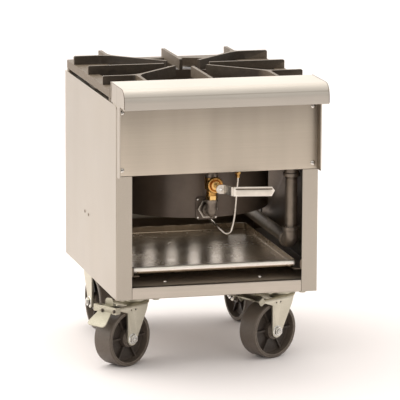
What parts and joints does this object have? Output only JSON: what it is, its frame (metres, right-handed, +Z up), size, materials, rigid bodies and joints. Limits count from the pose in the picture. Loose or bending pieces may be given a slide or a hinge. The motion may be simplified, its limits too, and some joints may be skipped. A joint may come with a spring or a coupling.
{
  "type": "stock pot range",
  "caption": "Low open-fronted steel cabinet on swivel casters, with a round gas burner under a square cast pot grate, a lever valve, a slide-out drip tray and a rounded front ledge",
  "frame": {"origin": "on the floor, under the middle of the cabinet's footprint", "axes": "+X to the right, +Y to the back, +Z up; the open front and the ledge face -Y"},
  "size_m": [0.5138, 0.6382, 0.6355],
  "materials": {
    "stainless_sheet": "brushed, satin",
    "dark_sheet": "matt black, heat darkened",
    "galvanised_sheet": "dull zinc coat",
    "cast_iron": "rough sand-cast, matt",
    "black_pipe": "dark mill scale, satin",
    "brass": "dull machined brass",
    "plated_steel": "bright zinc plate",
    "lever_steel": "nickel plate, satin",
    "aluminium_tube": "dull drawn tube",
    "zinc_steel": "pressed steel, zinc plate",
    "wheel_resin": "hard moulded, matt"
  },
  "bodies": {
    "cabinet": {"bottom_front_rail": "stainless_sheet", "burner_body": "cast_iron", "burner_chamber": "dark_sheet", "burner_feed_pipe": "black_pipe", "burner_jets": "brass", "burner_support_bar": "dark_sheet", "cabinet_floor": "dark_sheet", "caster_plate_bolts": "plated_steel", "feed_flange": "dark_sheet", "feed_locknut": "plated_steel", "front_caster_channel": "dark_sheet", "front_left_caster_plate": "zinc_steel", "front_panel": "stainless_sheet", "front_panel_screws": "plated_steel", "front_right_caster_plate": "zinc_steel", "gas_manifold": "black_pipe", "landing_ledge": "stainless_sheet", "left_side_panel": "stainless_sheet", "left_tray_runner": "galvanised_sheet", "left_wing_plate": "stainless_sheet", "manifold_elbow": "black_pipe", "manifold_tee": "black_pipe", "pilot_burner": "plated_steel", "pilot_tube": "aluminium_tube", "pilot_valve": "brass", "rear_caster_channel": "dark_sheet", "rear_left_caster_plate": "zinc_steel", "rear_panel": "stainless_sheet", "rear_rail": "stainless_sheet", "rear_right_caster_plate": "zinc_steel", "right_side_panel": "stainless_sheet", "right_tray_runner": "galvanised_sheet", "right_wing_plate": "stainless_sheet", "supply_elbow": "black_pipe", "supply_pipe": "black_pipe", "supply_pipe_clamp": "dark_sheet", "supply_riser": "black_pipe", "valve_body": "brass", "valve_bonnet": "brass", "valve_elbow": "black_pipe"},
    "grate": {"top_grate": "cast_iron"},
    "tray": {"drip_tray": "galvanised_sheet"},
    "gas_lever": {"valve_stem": "plated_steel", "valve_lever": "lever_steel", "lever_grip": "lever_steel", "lever_screw": "plated_steel"},
    "front_left_swivel": {"front_left_fork": "zinc_steel", "front_left_axle": "plated_steel"},
    "front_left_roller": {"front_left_wheel": "wheel_resin"},
    "front_left_brake": {"front_left_brake_pedal": "zinc_steel"},
    "front_right_swivel": {"front_right_fork": "zinc_steel", "front_right_axle": "plated_steel"},
    "front_right_roller": {"front_right_wheel": "wheel_resin"},
    "front_right_brake": {"front_right_brake_pedal": "zinc_steel"},
    "rear_left_swivel": {"rear_left_fork": "zinc_steel", "rear_left_axle": "plated_steel"},
    "rear_left_roller": {"rear_left_wheel": "wheel_resin"},
    "rear_right_swivel": {"rear_right_fork": "zinc_steel", "rear_right_axle": "plated_steel"},
    "rear_right_roller": {"rear_right_wheel": "wheel_resin"}
  },
  "joints": [
    {"name": "grate_lift", "type": "slide", "parent": "cabinet", "child": "grate", "axis": [0, 0, 1], "range_m": [0, 0.15]},
    {"name": "tray_slide", "type": "slide", "parent": "cabinet", "child": "tray", "axis": [0, -1, 0], "range_m": [0, 0.35]},
    {"name": "gas_lever_turn", "type": "hinge", "parent": "cabinet", "child": "gas_lever", "pos_m": [0, -0.2907, 0.4015], "axis": [0, 1, 0], "range_deg": [0, 90]},
    {"name": "front_left_swivel", "type": "hinge", "parent": "cabinet", "child": "front_left_swivel", "pos_m": [-0.168, -0.1887, 0.145], "axis": [0, 0, 1], "continuous": true},
    {"name": "front_left_roll", "type": "hinge", "parent": "front_left_swivel", "child": "front_left_roller", "pos_m": [-0.20192, -0.2099, 0.0635], "axis": [0.5299, -0.848, 0], "continuous": true},
    {"name": "front_left_brake_hinge", "type": "hinge", "parent": "front_left_swivel", "child": "front_left_brake", "pos_m": [-0.24093, -0.23427, 0.136], "axis": [-0.5299, 0.848, 0], "range_deg": [0, 60]},
    {"name": "front_right_swivel", "type": "hinge", "parent": "cabinet", "child": "front_right_swivel", "pos_m": [0.168, -0.1887, 0.145], "axis": [0, 0, 1], "continuous": true},
    {"name": "front_right_roll", "type": "hinge", "parent": "front_right_swivel", "child": "front_right_roller", "pos_m": [0.13236, -0.20686, 0.0635], "axis": [0.454, -0.891, 0], "continuous": true},
    {"name": "front_right_brake_hinge", "type": "hinge", "parent": "front_right_swivel", "child": "front_right_brake", "pos_m": [0.09137, -0.22774, 0.136], "axis": [0.454, -0.891, 0], "range_deg": [0, 60]},
    {"name": "rear_left_swivel", "type": "hinge", "parent": "cabinet", "child": "rear_left_swivel", "pos_m": [-0.168, 0.1933, 0.145], "axis": [0, 0, 1], "continuous": true},
    {"name": "rear_left_roll", "type": "hinge", "parent": "rear_left_swivel", "child": "rear_left_roller", "pos_m": [-0.16451, 0.15345, 0.0635], "axis": [0.9962, 0.0872, 0], "continuous": true},
    {"name": "rear_right_swivel", "type": "hinge", "parent": "cabinet", "child": "rear_right_swivel", "pos_m": [0.168, 0.1933, 0.145], "axis": [0, 0, 1], "continuous": true},
    {"name": "rear_right_roll", "type": "hinge", "parent": "rear_right_swivel", "child": "rear_right_roller", "pos_m": [0.17495, 0.15391, 0.0635], "axis": [0.9848, 0.1736, 0], "continuous": true}
  ]
}
